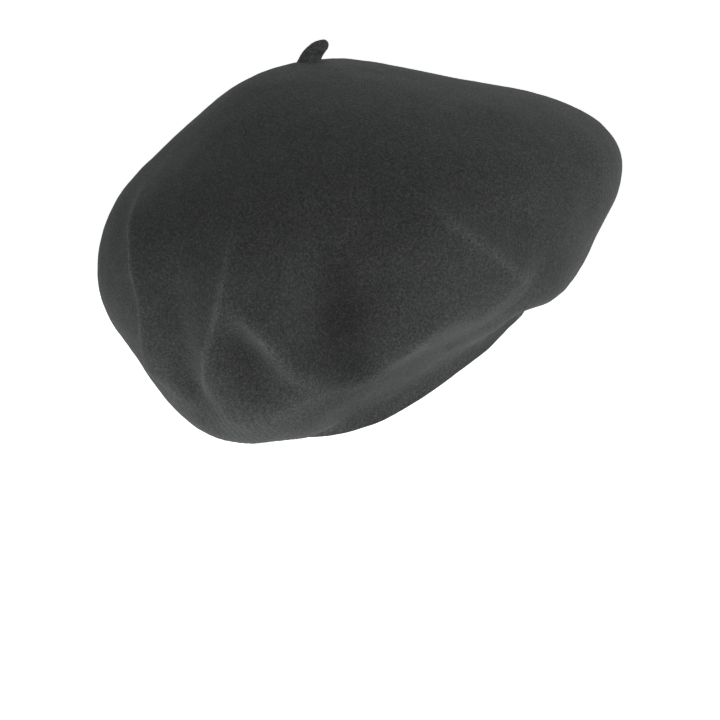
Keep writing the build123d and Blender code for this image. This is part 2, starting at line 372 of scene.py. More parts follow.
def capped_mesh(name, points):
    """Closed mesh of a grid of points that goes round, its first and last rows closed to fans."""
    rows, columns = points.shape[:2]
    faces = [quad(i, j, columns) for i in range(rows - 1) for j in range(columns)]
    verts = points.reshape(-1, 3).tolist()
    verts.append(points[-1].mean(0).tolist())
    verts.append(points[0].mean(0).tolist())
    last = (rows - 1) * columns
    top, bottom = rows * columns, rows * columns + 1
    faces += [(last + j, last + (j + 1) % columns, top) for j in range(columns)]
    faces += [((j + 1) % columns, j, bottom) for j in range(columns)]
    return built_mesh(name, verts, faces)


# ---- felt body
TURNS = 368  # columns of its mesh
HEIGHTS = 132  # rows of each face
EDGE_STEPS = 6  # rows of its round edge
TOP_HEIGHT = 0.994  # last row before the fan that closes the crown
# The mesh is finer round this turn and low down, where the sharpest folds are
CROWDED_TURN = radians(205)
CROWDING = 0.45
LOW_CROWDING = 1.25
# Small unevenness: wavelength and height, in millimetres
FELT_WAVES = ((28.0, 0.7), (11.0, 0.28), (4.0, 0.10))


def waves(points, layers, seed=0.0):
    """Sum of smooth random waves at points: layers of (wavelength, height) in millimetres."""
    total = np.zeros(len(points))
    for length, high in layers:
        step = length * MM
        offset = Vector((seed, seed, length))
        values = [turbulence.noise(Vector(p) / step + offset) for p in points]
        total += np.array(values) * high * MM
    return total


def paint(mesh, name, values):
    """Store one number for each vertex, for the materials to read."""
    field = mesh.attributes.new(name, "FLOAT", "POINT")
    field.data.foreach_set("value", np.ascontiguousarray(values, np.float32))


def felt_body():
    """Shell of felt with a half round edge; its outer face carries the wear, the painted highlight
    and the painted shade.
    """
    even = np.linspace(0, 2 * pi, TURNS, endpoint=False)
    turns = even - CROWDING * np.sin(even - CROWDED_TURN)
    heights = TOP_HEIGHT * np.linspace(0, 1, HEIGHTS) ** LOW_CROWDING
    outer, wear_and_painted_light = felt_grid(turns, heights, wear_and_shade=True)
    rough = waves(outer.reshape(-1, 3), FELT_WAVES).reshape(outer.shape[:2])
    outer = outer + grid_normals(outer) * rough[:, :, None]
    normals = grid_normals(outer)
    inner = outer - normals * FELT
    # the half round edge joins the two faces
    middle = (outer[0] + inner[0]) / 2
    out_way = (outer[0] - inner[0]) / 2
    down = outer[0] - outer[1]
    down /= np.linalg.norm(down, axis=1)[:, None]
    edge = []
    for step in range(1, EDGE_STEPS):
        angle = pi * step / EDGE_STEPS
        edge.append(middle - out_way * cos(angle) + down * sin(angle) * FELT / 2)
    shell = np.concatenate([inner[::-1], np.array(edge), outer])
    mesh = capped_mesh("felt_body_visual", shell)
    unpainted = np.zeros((HEIGHTS + EDGE_STEPS - 1) * TURNS)
    caps = np.zeros(2)
    paint(mesh, "wear_and_painted_light", np.concatenate([unpainted, wear_and_painted_light.reshape(-1), caps]))
    return link("felt_body_visual", mesh)


# ---- materials
def new_material(name):
    """A material with its nodes, its links and its shader."""
    material = bpy.data.materials.new(name)
    material.use_nodes = True
    nodes = material.node_tree.nodes
    return material, nodes, material.node_tree.links, nodes["Principled BSDF"]


def noise(nodes, links, where, scale, detail=2.0, rough=0.5):
    """Noise from 0 to 1 whose features are about 1 / scale metres across."""
    node = nodes.new("ShaderNodeTexNoise")
    node.inputs["Scale"].default_value = scale
    node.inputs["Detail"].default_value = detail
    node.inputs["Roughness"].default_value = rough
    links.new(where, node.inputs["Vector"])
    return node.outputs["Fac"]


def ramp(nodes, links, value, stops):
    """Colour for a value, from stops of (place, colour)."""
    node = nodes.new("ShaderNodeValToRGB")
    links.new(value, node.inputs["Fac"])
    element = node.color_ramp.elements
    while len(element) < len(stops):
        element.new(0.5)
    for point, (place, colour) in zip(element, stops):
        point.position = place
        point.color = (*colour, 1)
    return node.outputs["Color"]


def calc(nodes, links, kind, first, second=None):
    """One step of arithmetic on sockets or numbers."""
    node = nodes.new("ShaderNodeMath")
    node.operation = kind
    for socket, value in zip(node.inputs, (first, second)):
        if value is None:
            continue
        if isinstance(value, (int, float)):
            socket.default_value = value
        else:
            links.new(value, socket)
    return node.outputs[0]


def span(nodes, links, value, low, high):
    """The same value moved from 0..1 to low..high."""
    return calc(nodes, links, "ADD", calc(nodes, links, "MULTIPLY", value, high - low), low)


def blend(nodes, links, first, second, share):
    """A share of 0 to 1 of the first value, and the rest of the second."""
    parts = span(nodes, links, first, 0, share), span(nodes, links, second, 0, 1 - share)
    return calc(nodes, links, "ADD", *parts)


def scaled(nodes, links, colour, value):
    """A colour times a number from a socket."""
    node = nodes.new("ShaderNodeVectorMath")
    node.operation = "SCALE"
    links.new(colour, node.inputs[0])
    links.new(value, node.inputs["Scale"])
    return node.outputs[0]


def bump(nodes, links, shader, height, depth, strength=1.0):
    """Relief of the shader's surface from a height, its depth in millimetres."""
    node = nodes.new("ShaderNodeBump")
    node.inputs["Strength"].default_value = strength
    node.inputs["Distance"].default_value = depth * MM
    links.new(height, node.inputs["Height"])
    links.new(node.outputs["Normal"], shader.inputs["Normal"])


# Felt: noise scales of its fibres, clumps and clouds, and its greys from deep to raised wool
FIBRES = 1500
CLUMPS = 800
CLOUDS = 60
FELT_GREYS = [
    (0.34, (0.020, 0.0205, 0.0205)),
    (0.5, (0.045, 0.0465, 0.046)),
    (0.68, (0.094, 0.097, 0.094)),
]
FELT_SHEEN = (0.8, 0.83, 0.86, 1)
WEAR_AND_LIGHT_SHARE = 0.55  # share by which a crest is lighter at full wear and painted highlight, and a hollow darker at full painted shade
MOTTLE = 0.16  # share by which the clouds lighten and darken


def felt_material(name, lightness=1.0, wear_and_painted_light=True, relief=0.9):
    """Charcoal wool felt: fibres of 0.3 to 1 mm, cloudy mottling, lighter along crests from wear
    and painted highlight, and darker in hollows from painted shade.
    """
    material, nodes, links, shader = new_material(name)
    where = nodes.new("ShaderNodeTexCoord").outputs["Object"]
    fibres = noise(nodes, links, where, FIBRES, 4.0, 0.7)
    clumps = noise(nodes, links, where, CLUMPS, 2.0, 0.55)
    clouds = noise(nodes, links, where, CLOUDS, 3.0, 0.6)
    grain = blend(nodes, links, fibres, clumps, 0.6)
    grey = ramp(nodes, links, grain, FELT_GREYS)
    tone = span(nodes, links, clouds, (1 - MOTTLE) * lightness, (1 + MOTTLE) * lightness)
    # crests lighter from wear and painted highlight, grooves and hollows darker from painted shade
    if wear_and_painted_light:
        wear_and_shade = nodes.new("ShaderNodeAttribute")
        wear_and_shade.attribute_name = "wear_and_painted_light"
        lighter = span(nodes, links, wear_and_shade.outputs["Fac"], 0, WEAR_AND_LIGHT_SHARE)
        tone = calc(nodes, links, "ADD", tone, lighter)
    links.new(scaled(nodes, links, grey, tone), shader.inputs["Base Color"])
    links.new(span(nodes, links, clumps, 0.86, 1.0), shader.inputs["Roughness"])
    shader.inputs["Specular IOR Level"].default_value = 0.12
    shader.inputs["Sheen Weight"].default_value = 0.09
    shader.inputs["Sheen Roughness"].default_value = 0.45
    shader.inputs["Sheen Tint"].default_value = FELT_SHEEN
    bump(nodes, links, shader, grain, relief, 0.6)
    return material


# Cloth: noise scales of its fuzz and clouds
FUZZ = 1800
CLOTH_CLOUDS = 70


def cloth_material(name, dark, light, rough, pattern, depth, sheen=0.1, shine=0.3, stretch=0.0):
    """Woven cloth whose height pattern comes from its own flat coordinates."""
    material, nodes, links, shader = new_material(name)
    coords = nodes.new("ShaderNodeTexCoord")
    flat = nodes.new("ShaderNodeSeparateXYZ")
    links.new(coords.outputs["UV"], flat.inputs[0])
    height = pattern(nodes, links, flat.outputs[0], flat.outputs[1])
    fuzz = noise(nodes, links, coords.outputs["Object"], FUZZ, 3.0, 0.6)
    clouds = noise(nodes, links, coords.outputs["Object"], CLOTH_CLOUDS, 2.0, 0.5)
    mixed = blend(nodes, links, height, fuzz, 0.7)
    colour = ramp(nodes, links, mixed, [(0.2, dark), (0.75, light)])
    tone = span(nodes, links, clouds, 0.85, 1.15)
    links.new(scaled(nodes, links, colour, tone), shader.inputs["Base Color"])
    links.new(span(nodes, links, fuzz, rough - 0.08, rough + 0.08), shader.inputs["Roughness"])
    shader.inputs["Specular IOR Level"].default_value = shine
    shader.inputs["Sheen Weight"].default_value = sheen
    shader.inputs["Anisotropic"].default_value = stretch
    bump(nodes, links, shader, mixed, depth)
    return material


def waved(nodes, links, value, pitch):
    """A sine wave from 0 to 1 along a flat coordinate in metres."""
    turn = calc(nodes, links, "MULTIPLY", value, 2 * pi / (pitch * MM))
    return span(nodes, links, calc(nodes, links, "SINE", turn), 0.5, 1.0)


def ribs(nodes, links, along, across):
    """Grosgrain: ribs of 1.1 mm that cross the ribbon, with fine warp over them."""
    rib = waved(nodes, links, along, 1.1)
    warp = waved(nodes, links, across, 0.35)
    return blend(nodes, links, rib, warp, 0.8)


def satin(nodes, links, along, across):
    """Satin: long fine floats with short breaks."""
    floats = waved(nodes, links, along, 0.22)
    breaks = waved(nodes, links, across, 1.3)
    return blend(nodes, links, floats, breaks, 0.7)


def plain(nodes, links, along, across):
    """Plain weave of 0.5 mm."""
    over = waved(nodes, links, along, 0.5)
    under = waved(nodes, links, across, 0.5)
    return calc(nodes, links, "MULTIPLY", over, under)


def twist(nodes, links, along, across):
    """Two-ply thread: a spiral of 0.8 mm."""
    return waved(nodes, links, calc(nodes, links, "ADD", along, across), 0.8)


FELT_MATERIAL = felt_material("wool_felt_charcoal")
# painted light: the stalk's felt is 1.6 times lighter, to make up for the shade it sits in on the
# crown
STALK_MATERIAL = felt_material("stalk_felt", 1.6, False, 0.5)
GROSGRAIN = cloth_material(
    "grosgrain_black", (0.006, 0.006, 0.007), (0.030, 0.030, 0.033), 0.6, ribs, 0.25
)
ELASTIC = cloth_material(
    "elastic_black", (0.010, 0.010, 0.011), (0.045, 0.045, 0.048), 0.8, ribs, 0.3
)
SATIN = cloth_material(
    "satin_black", (0.010, 0.010, 0.012), (0.030, 0.030, 0.034), 0.34, satin, 0.05, 0.05, 0.6, 0.5
)
BOW_SATIN = cloth_material(
    "bow_satin_black", (0.008, 0.008, 0.009), (0.028, 0.028, 0.031), 0.36, ribs, 0.08, 0.05, 0.6,
    0.4,
)
WEAVE = cloth_material(
    "label_weave_grey", (0.32, 0.31, 0.29), (0.62, 0.60, 0.56), 0.7, plain, 0.12
)
THREAD = cloth_material(
    "thread_black", (0.012, 0.012, 0.013), (0.060, 0.060, 0.063), 0.55, twist, 0.12
)


def finish_piece(thing, material, slot, *nodes, body="cap"):
    """Give a piece its material, the CAD nodes that it stands for, and its body; its slot is not
    used.
    """
    thing.data.materials.clear()
    thing.data.materials.append(material)
    if nodes:
        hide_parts(*nodes)
    if body:
        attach(thing, body)
    return thing


body = finish_piece(felt_body(), FELT_MATERIAL, "wool_felt", "felt_body")

# ---- stalk
CROWN_TOP = Vector((24, 25, 165)) * MM
STALK_HEADING = radians(37)
STALK_SIDES = 28
STALK_RINGS = 40
# Spine of the stalk: reach towards its heading, rise over the crown, radius, in millimetres
STALK_SPINE = [
    (-1.4, -2.8, 8.2),
    (-1.3, -1.4, 7.0),
    (-1.1, 0.2, 6.0),
    (-0.2, 2.6, 5.1),
    (1.6, 4.8, 4.5),
    (3.8, 6.7, 3.9),
    (6.0, 8.0, 3.1),
    (7.6, 8.6, 2.0),
    (8.3, 8.8, 0.5),
]
STALK_FLAT = 0.86  # its width as a share of its depth
STALK_TIP = 0.3  # least radius, in millimetres
STALK_WAVES = ((5.0, 0.5), (2.0, 0.2))


def tube(spine, sides, squash_side, ahead):
    """Grid of rings of points round a spine of (point, radius) that leans ahead."""
    points = np.array([point for point, _ in spine])
    way = np.gradient(points, axis=0)
    way /= np.linalg.norm(way, axis=1)[:, None]
    side = np.cross(way, ahead)
    side /= np.linalg.norm(side, axis=1)[:, None]
    up = np.cross(side, way)
    angle = np.linspace(0, 2 * pi, sides, endpoint=False)
    rings = []
    for i, (point, radius) in enumerate(spine):
        ring = np.cos(angle)[:, None] * up[i] + np.sin(angle)[:, None] * side[i] * squash_side
        rings.append(np.array(point) + ring * radius)
    return np.array(rings)


def stalk():
    """Stub of felt that leans towards its heading, a little uneven."""
    knots = np.array(STALK_SPINE, float)
    at = spline(np.linspace(0, 1, len(knots)), knots, np.linspace(0, 1, STALK_RINGS))
    heading = np.array([-sin(STALK_HEADING), -cos(STALK_HEADING), 0])
    spine = []
    for reach, rise, radius in at:
        place = np.array(CROWN_TOP) + (heading * reach + np.array([0, 0, rise])) * MM
        spine.append((place, max(radius, STALK_TIP) * MM))
    grid = tube(spine, STALK_SIDES, STALK_FLAT, heading)
    centre = grid.mean(1, keepdims=True)
    way = grid - centre
    way /= np.linalg.norm(way, axis=2, keepdims=True)
    rough = waves(grid.reshape(-1, 3), STALK_WAVES, 3.0).reshape(grid.shape[:2])
    grid = grid + way * rough[:, :, None]
    return link("stalk_visual", capped_mesh("stalk_visual", grid))


stub = finish_piece(stalk(), STALK_MATERIAL, "stalk_felt", "stalk", body=None)
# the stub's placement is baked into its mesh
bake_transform(stub)

# ---- inside of the opening: sizes in millimetres, ovals as half length and half width
BAND_THICK = 0.9
BAND_RAISE = 1.5  # height of its lower edge above the felt's edge
BAND_WIDTH = 25.0
BAND_IN = (84.6, 69.6)
BAND_OUT = (BAND_IN[0] + BAND_THICK, BAND_IN[1] + BAND_THICK)
BAND_TOP = BAND_RAISE + BAND_WIDTH
BAND_WAVES = ((18, 0.25),)
BAND_STEPS, BAND_ROWS = 520, 14  # of its mesh
HEM = 2.2  # from its edges to the stitches
SLIT = 0.5  # between its ends, which meet at the back
SECTION_ROUND = 0.4  # bulge of a strip's edges, as a share of its thickness
NEAR = 0.001  # step in turn for finding the way round an oval, in radians
ELASTIC_OVAL = (86.9, 71.9)
ELASTIC_LOW, ELASTIC_HIGH = 5.0, 11.0  # heights of its edges above the felt's edge
ELASTIC_THICK = 1.0
ELASTIC_STEPS, ELASTIC_ROWS = 240, 5


def wall_points(turns, half_sizes, height):
    """Points on an oval wall square to the opening, at a height above the felt's edge."""
    base = ring_points(((0, 0, 0), 1.0, *half_sizes), turns)
    points = base + UP * height * MM
    points[:, 2] += rim_rise(turns, np.full(turns.shape, height * MM))
    return points


def way_out(turns, half_sizes):
    """Unit vectors square to the oval wall, away from its middle."""
    ahead = wall_points(turns + NEAR, half_sizes, 0) - wall_points(turns - NEAR, half_sizes, 0)
    way = np.cross(ahead, UP)
    return way / np.linalg.norm(way, axis=1)[:, None]


def oval_length(half_sizes):
    """Length once round an oval, in metres."""
    turns = np.linspace(0, 2 * pi, 721)
    steps = np.diff(ring_points(((0, 0, 0), 1.0, *half_sizes), turns), axis=0)
    return np.linalg.norm(steps, axis=1).sum()


def strip(name, turns, half_sizes, low, high, thick, rows, ripple=()):
    """A band of cloth with thickness on the oval wall, its outer face on the oval of half_sizes."""
    levels = np.linspace(low, high, rows)
    out = way_out(turns, half_sizes)
    outer = np.array([wall_points(turns, half_sizes, level) for level in levels])
    if ripple:
        rough = waves(outer.reshape(-1, 3), ripple, 7.0).reshape(outer.shape[:2])
        outer += out[None] * rough[:, :, None]
    inner = outer - out[None] * thick * MM
    # round the section: down the outer face, under, up the inner face, and over
    bulge = UP * thick * MM * SECTION_ROUND
    middle_low = (outer[0] + inner[0]) / 2 - bulge
    middle_high = (outer[-1] + inner[-1]) / 2 + bulge
    section = np.array([*outer[::-1], middle_low, *inner, middle_high, outer[-1]])
    heights = np.array([*levels[::-1], low, *levels, high, high]) * MM
    return cloth_grid(name, section, run_length(outer[0]), heights, ends=True)


def cloth_grid(name, grid, along, across, ends=False, closed=False):
    """Mesh of a grid of points, rows by columns, with its flat coordinates in metres."""
    rows, columns = grid.shape[:2]
    faces = []
    flats = []
    last = columns if closed else columns - 1
    for i in range(rows - 1):
        for j in range(last):
            faces.append(quad(i, j, columns))
            flats += [(along[j], across[i]), (along[j + 1], across[i]),
                      (along[j + 1], across[i + 1]), (along[j], across[i + 1])]
    if ends:
        for j, order in ((0, 1), (columns - 1, -1)):
            ring = [i * columns + j for i in range(rows - 1)][::order]
            faces.append(tuple(ring))
            flats += [(along[j], across[i // columns]) for i in ring]
    return link(name, built_mesh(name, grid.reshape(-1, 3).tolist(), faces, flats, weld=True))


def oval_turns(count, gap=0.0):
    """Turns once round from the back, leaving a gap in millimetres there."""
    half_gap = gap / 2 / BAND_IN[0]
    return np.linspace(pi + half_gap, 3 * pi - half_gap, count)


band = strip("sweatband_visual", oval_turns(BAND_STEPS, SLIT), BAND_OUT, BAND_RAISE, BAND_TOP,
             BAND_THICK, BAND_ROWS, BAND_WAVES)
finish_piece(band, GROSGRAIN, "grosgrain", "sweatband")

elastic = strip("rim_elastic_visual", oval_turns(ELASTIC_STEPS), ELASTIC_OVAL, ELASTIC_LOW,
                ELASTIC_HIGH, ELASTIC_THICK, ELASTIC_ROWS)
finish_piece(elastic, ELASTIC, "elastic", "rim_elastic")

# ---- lining
LINING = 0.7  # thickness, in millimetres
# Flat sizes of the cuts, in metres: the side is one strip, the tip an oval
LINING_WIDEST = (96.8, 90.2)
# Rings of the lining above the sweatband, as for the felt
LINING_RINGS = [
    ((5, 7, 52), 0.50, *LINING_WIDEST),
    ((6, 8, 85), 0.35, 98.9, 92.2),
    ((8, 10, 114), 0.28, 82.4, 76.8),
    ((12, 14, 134), 0.20, 52.5, 49.0),
    ((17, 19, 144.5), 0.12, 22.7, 21.1),
    ((19, 21, 146), 0.08, 0, 0),
]
LINING_FOOT = 22.5  # height of its tucked edge behind the sweatband, in millimetres
LINING_FOOT_OVAL = (86.5, 71.5)
LINING_SEAM = 4  # row where the side meets the tip, counted from its foot
SIDE_TURNS, SIDE_ROWS = 480, 60  # of the side's mesh
TIP_TURNS, TIP_ROWS = 240, 40
TIP_SPAN = (1.0001, 1.985)  # first and last height of the tip
GATHERS = 46  # once round
GATHER_TOP, GATHER_BAND = 1.1, 0.9  # depth at the tip seam and at the sweatband, in millimetres
SIDE_WAVES = ((45, 2.2), (18, 0.8))
TIP_WAVES = ((40, 1.6), (15, 0.5))


def lining_grid(turns, heights):
    """Points of the lining by height, 0 at its foot, 1 at the tip seam and 2 at its top, and the
    way up to the seam."""
    foot = [wall_points(turns, LINING_FOOT_OVAL, level) for level in (LINING_FOOT, BAND_TOP)]
    rows = np.array(foot + [ring_points(ring, turns) for ring in LINING_RINGS])
    knots = ring_knots(rows)
    seam = knots[LINING_SEAM]
    places = np.where(heights <= 1, heights * seam, seam + (heights - 1) * (knots[-1] - seam))
    return spline(knots, rows, places), seam


def cloth_shell(name, grid, along, across):
    """Closed shell of a sheet of lining from the grid of its outer face, all the way round."""
    normals = grid_normals(grid)
    inner = grid - normals * LINING * MM
    shell = np.concatenate([grid[::-1], inner, grid[-1:]])
    heights = np.concatenate([across[::-1], across, across[-1:]])
    return cloth_grid(name, shell, along, heights, closed=True)


def lining_side():
    """Side of the lining: gathers start at the sweatband and the tip seam and die out between."""
    turns = np.linspace(0, 2 * pi, SIDE_TURNS, endpoint=False)
    heights = np.linspace(0, 1, SIDE_ROWS)
    grid, seam = lining_grid(turns, heights)
    normals = grid_normals(grid)
    a, b = np.meshgrid(turns, heights)
    wander = 0.5 * np.sin(3 * a + 1) + 0.35 * np.sin(7 * a + 2 * b)
    pleat = np.sin(GATHERS * a + 4 * wander) * (0.6 + 0.4 * np.sin(5 * a + 3))
    near_top = np.exp(-(((1 - b) / 0.22) ** 2))
    near_band = np.exp(-(((b - 0.12) / 0.12) ** 2))
    slack = waves(grid.reshape(-1, 3), SIDE_WAVES, 11.0).reshape(a.shape)
    free = np.clip(b / 0.14, 0, 1) * np.clip((1 - b) / 0.05, 0, 1)
    depth = pleat * (GATHER_TOP * near_top + GATHER_BAND * near_band) * MM + slack
    grid = grid - normals * (np.abs(depth) * free)[:, :, None]
    along = np.linspace(0, oval_length(LINING_WIDEST), SIDE_TURNS + 1)
    return cloth_shell("lining_side_visual", grid, along, heights * seam)


def lining_tip():
    """Top panel of the lining, with some slack; its flat coordinates are its plan."""
    turns = np.linspace(0, 2 * pi, TIP_TURNS, endpoint=False)
    heights = np.linspace(*TIP_SPAN, TIP_ROWS)
    grid = lining_grid(turns, heights)[0]
    normals = grid_normals(grid)
    slack = waves(grid.reshape(-1, 3), TIP_WAVES, 19.0).reshape(grid.shape[:2])
    free = np.clip((heights - 1) / 0.1, 0, 1)[:, None]
    grid = grid - normals * (np.abs(slack) * free)[:, :, None]
    inner = grid - normals * LINING * MM
    mesh = capped_mesh("lining_tip_visual", np.concatenate([inner[::-1], grid]))
    corners = np.zeros(len(mesh.loops), np.int32)
    mesh.loops.foreach_get("vertex_index", corners)
    places = np.zeros(len(mesh.vertices) * 3)
    mesh.vertices.foreach_get("co", places)
    set_flats(mesh, places.reshape(-1, 3)[corners, :2])
    return link("lining_tip_visual", mesh)


side = finish_piece(lining_side(), SATIN, "satin", "lining_side")
tip = finish_piece(lining_tip(), SATIN, "satin", "lining_tip")

# ---- label
LABEL_WIDTH = 28.0
LABEL_HEIGHT = 15.0
LABEL_THICK = 0.5
LABEL_RAISE = 7.5  # height of its lower edge above the felt's edge
LABEL_OVAL = (84.5, 69.5)
LABEL_WAVES = ((6, 0.08),)
LABEL_STEPS, LABEL_ROWS = 57, 24  # of its mesh
label_half = LABEL_WIDTH / 2 / BAND_IN[0]
label_turns = np.linspace(pi / 2 - label_half, pi / 2 + label_half, LABEL_STEPS)
label = strip("label_visual", label_turns, LABEL_OVAL, LABEL_RAISE, LABEL_RAISE + LABEL_HEIGHT,
              LABEL_THICK, LABEL_ROWS, LABEL_WAVES)
finish_piece(label, WEAVE, "label_weave", "label")

# ---- bow: places are (out, across, up) from the join of the sweatband, in millimetres
BOW_RAISE = 16.0
BOW_RIBBON = 0.5  # thickness of its ribbon
RIBBON_CURL = 0.25  # how far the middle of the ribbon's width bows out
LOOP_TURN = 0.88 * pi  # how far a loop goes round to each side before it enters the knot
LOOP_OUT = 4.6
LOOP_DEEP = 2.0  # half of its depth, out from the band
LOOP_MIDDLE = 7.0  # from the knot to its middle
LOOP_REACH = 6.2  # from its middle to its far end
LOOP_NARROW, LOOP_WIDEN = 4.2, 2.2  # width at the knot, and how much more at the far end
LOOP_STEPS = 36
TAIL_OUT = 4.4
TAIL_START, TAIL_SPREAD = 1.2, 7.0  # across, at the knot and on to its end
TAIL_DROP = 12.0
TAIL_NARROW, TAIL_WIDEN = 3.6, 1.6
TAIL_NOTCH = 1.6
TAIL_STEPS = 22
KNOT_OUT = 4.4
KNOT_DEEP, KNOT_WIDE, KNOT_TALL = 2.0, 1.8, 3.4  # half sizes
KNOT_ROWS, KNOT_COLUMNS = 27, 40


def bow_place(out, across, up):
    """Place near the sweatband's join: out from its face towards the head, across, and up."""
    turn = pi - across / BAND_IN[0]
    turns = np.array([turn])
    point = wall_points(turns, BAND_IN, BOW_RAISE + up)[0]
    return point - way_out(turns, BAND_IN)[0] * out * MM


def ribbon(name, spine, widths, thick, tips=None):
    """A ribbon along a spine of (out, across, up), its width held upright, in millimetres."""
    spine = np.array(spine, float)
    way = np.gradient(spine, axis=0)
    way /= np.linalg.norm(way, axis=1)[:, None]
    across = np.linspace(-0.5, 0.5, 9)
    face = np.zeros((2, len(spine), len(across), 3))
    for i, (point, ahead, wide) in enumerate(zip(spine, way, widths)):
        level = abs(ahead[2]) < 0.7
        tall = np.array([0, 0, 1]) if level else np.array([0, 1, 0]) * -np.sign(ahead[2])
        tall = tall - ahead * (tall @ ahead)
        tall /= np.linalg.norm(tall)
        flat = np.cross(ahead, tall)
        for j, share in enumerate(across):
            curl = RIBBON_CURL * (1 - 4 * share**2)
            lead = 0 if tips is None else tips * abs(share) * 2 * (i == len(spine) - 1)
            middle = point + tall * share * wide + flat * curl + ahead * lead
            for k, half in enumerate((0.5, -0.5)):
                face[k, i, j] = bow_place(*(middle + flat * half * thick))
    loop = np.concatenate([face[0], face[1][:, ::-1], face[0][:, :1]], axis=1).transpose(1, 0, 2)
    length = run_length(spine) * MM
    wide = np.concatenate([across, across[::-1], across[:1]]) * widths[0] * MM
    return cloth_grid(name, loop, length, wide, ends=True)


def bow_loop(hand):
    """Spine of one loop, from the knot out and back."""
    angle = np.linspace(-LOOP_TURN, LOOP_TURN, LOOP_STEPS)
    out = LOOP_OUT + LOOP_DEEP * np.sin(angle) * (0.75 + 0.25 * np.cos(angle))
    across = hand * (LOOP_MIDDLE + LOOP_REACH * np.cos(angle))
    return np.stack([out, across, 0.5 * np.cos(angle)], axis=1)


def joined(name, things):
    """One object from several."""
    shape = bmesh.new()
    for thing in things:
        shape.from_mesh(thing.data)
    mesh = bpy.data.meshes.new(name)
    shape.to_mesh(mesh)
    shape.free()
    for thing in things:
        old = thing.data
        bpy.data.objects.remove(thing)
        bpy.data.meshes.remove(old)
    smooth_shade(mesh)
    return link(name, mesh)


def bow_loops():
    """Two loops of ribbon, wider away from the knot."""
    things = []
    for hand in (-1, 1):
        spine = bow_loop(hand)
        reach = np.abs(spine[:, 1]) / (LOOP_MIDDLE + LOOP_REACH)
        widths = LOOP_NARROW + LOOP_WIDEN * reach
        things.append(ribbon(f"loop_{hand}", spine, widths, BOW_RIBBON))
    return joined("bow_loops_visual", things)


def bow_tails():
    """Two tails of ribbon, notched at their ends."""
    things = []
    for hand in (-1, 1):
        run = np.linspace(0, 1, TAIL_STEPS)
        out = TAIL_OUT + 0.9 * np.sin(run * pi * 1.3)
        across = hand * (TAIL_START + TAIL_SPREAD * run)
        spine = np.stack([out, across, -1.0 - TAIL_DROP * run], axis=1)
        widths = TAIL_NARROW + TAIL_WIDEN * run
        things.append(ribbon(f"tail_{hand}", spine, widths, BOW_RIBBON, tips=TAIL_NOTCH))
    return joined("bow_tails_visual", things)


def bow_knot():
    """A wrap of ribbon, pinched at its sides, with soft ridges across it."""
    grid = []
    for i in range(KNOT_ROWS):
        level = -1 + 2 * i / (KNOT_ROWS - 1)
        full = sqrt(max(1 - level**6, 0.02))
        ridge = 1 + 0.05 * sin(level * 9)
        pinch = 0.9 + 0.1 * level**2
        grid.append([
            bow_place(
                KNOT_OUT + KNOT_DEEP * cos(t) * full * ridge,
                KNOT_WIDE * sin(t) * full * pinch * ridge,
                level * KNOT_TALL,
            )
            for t in np.linspace(0, 2 * pi, KNOT_COLUMNS, endpoint=False)
        ])
    return link("bow_knot_visual", capped_mesh("bow_knot_visual", np.array(grid)))


finish_piece(bow_loops(), BOW_SATIN, "bow_ribbon", "bow_loops")
finish_piece(bow_tails(), BOW_SATIN, "bow_ribbon", "bow_tails")
finish_piece(bow_knot(), BOW_SATIN, "bow_ribbon", "bow_knot")

# ---- thread: sizes in millimetres
THREAD_R = 0.35
STITCH = 3.4  # length of one that shows
STITCH_PITCH = 6.0
STITCH_SIDES = 8
STITCH_STEPS = 11  # rings along it
BAR = 4.0  # length of the bars across the band's join
BARS = 6
LABEL_MARGIN = 1.5  # from the label's edge to its stitches
LABEL_STITCH_OVAL = (84.0, 69.0)
LABEL_PLACES = (-1.5, -0.5, 0.5, 1.5)  # of its stitches, in pitches from its middle
TIP_SEAM = ((8, 10, 114), 0.28, 81.7, 76.1)  # ring inside the lining's seam
TIP_SEAM_STITCHES = 84


def stitch(start, end, out, radius, rise):
    """Ring grid of one stitch that dives into the cloth at both ends."""
    run = np.linspace(0, 1, STITCH_STEPS)
    arch = np.sin(run * pi) ** 0.6
    points = start + (end - start) * run[:, None] + out * ((arch - 0.55) * rise * MM)[:, None]
    radii = radius * MM * (0.55 + 0.45 * np.sin(run * pi) ** 0.4)
    way = (end - start) / np.linalg.norm(end - start)
    side = np.cross(way, out)
    angle = np.linspace(0, 2 * pi, STITCH_SIDES, endpoint=False)
    ring = np.cos(angle)[:, None] * out + np.sin(angle)[:, None] * side
    return points[:, None] + ring[None] * radii[:, None, None]


def stitches(name, places, radius=THREAD_R, rise=0.5):
    """One object of many stitches, each from a (start, end, way out)."""
    faces = []
    verts = []
    flats = []
    for start, end, out in places:
        grid = stitch(np.array(start), np.array(end), np.array(out), radius, rise)
        base = len(verts)
        rows, columns = grid.shape[:2]
        verts += grid.reshape(-1, 3).tolist()
        girth = 2 * pi * radius * MM / columns
        length = STITCH * MM / (rows - 1)
        for i in range(rows - 1):
            for j in range(columns):
                faces.append(quad(i, j, columns, base))
                flats += [(i * length, j * girth), (i * length, (j + 1) * girth),
                          ((i + 1) * length, (j + 1) * girth), ((i + 1) * length, j * girth)]
        for ring in (range(columns - 1, -1, -1), range((rows - 1) * columns, rows * columns)):
            faces.append(tuple(base + i for i in ring))
            flats += [(0, 0)] * columns
    return link(name, built_mesh(name, verts, faces, flats))


def wall_row(height, turns, half_sizes, length=STITCH):
    """Running stitches round the oval wall."""
    reach = length / 2 / BAND_IN[0]
    starts = wall_points(turns - reach, half_sizes, height)
    ends = wall_points(turns + reach, half_sizes, height)
    return list(zip(starts, ends, -way_out(turns, half_sizes)))


def even_turns(count):
    """Turns spread evenly once round; the first is half a step from the front."""
    return 2 * pi * (np.arange(count) + 0.5) / count


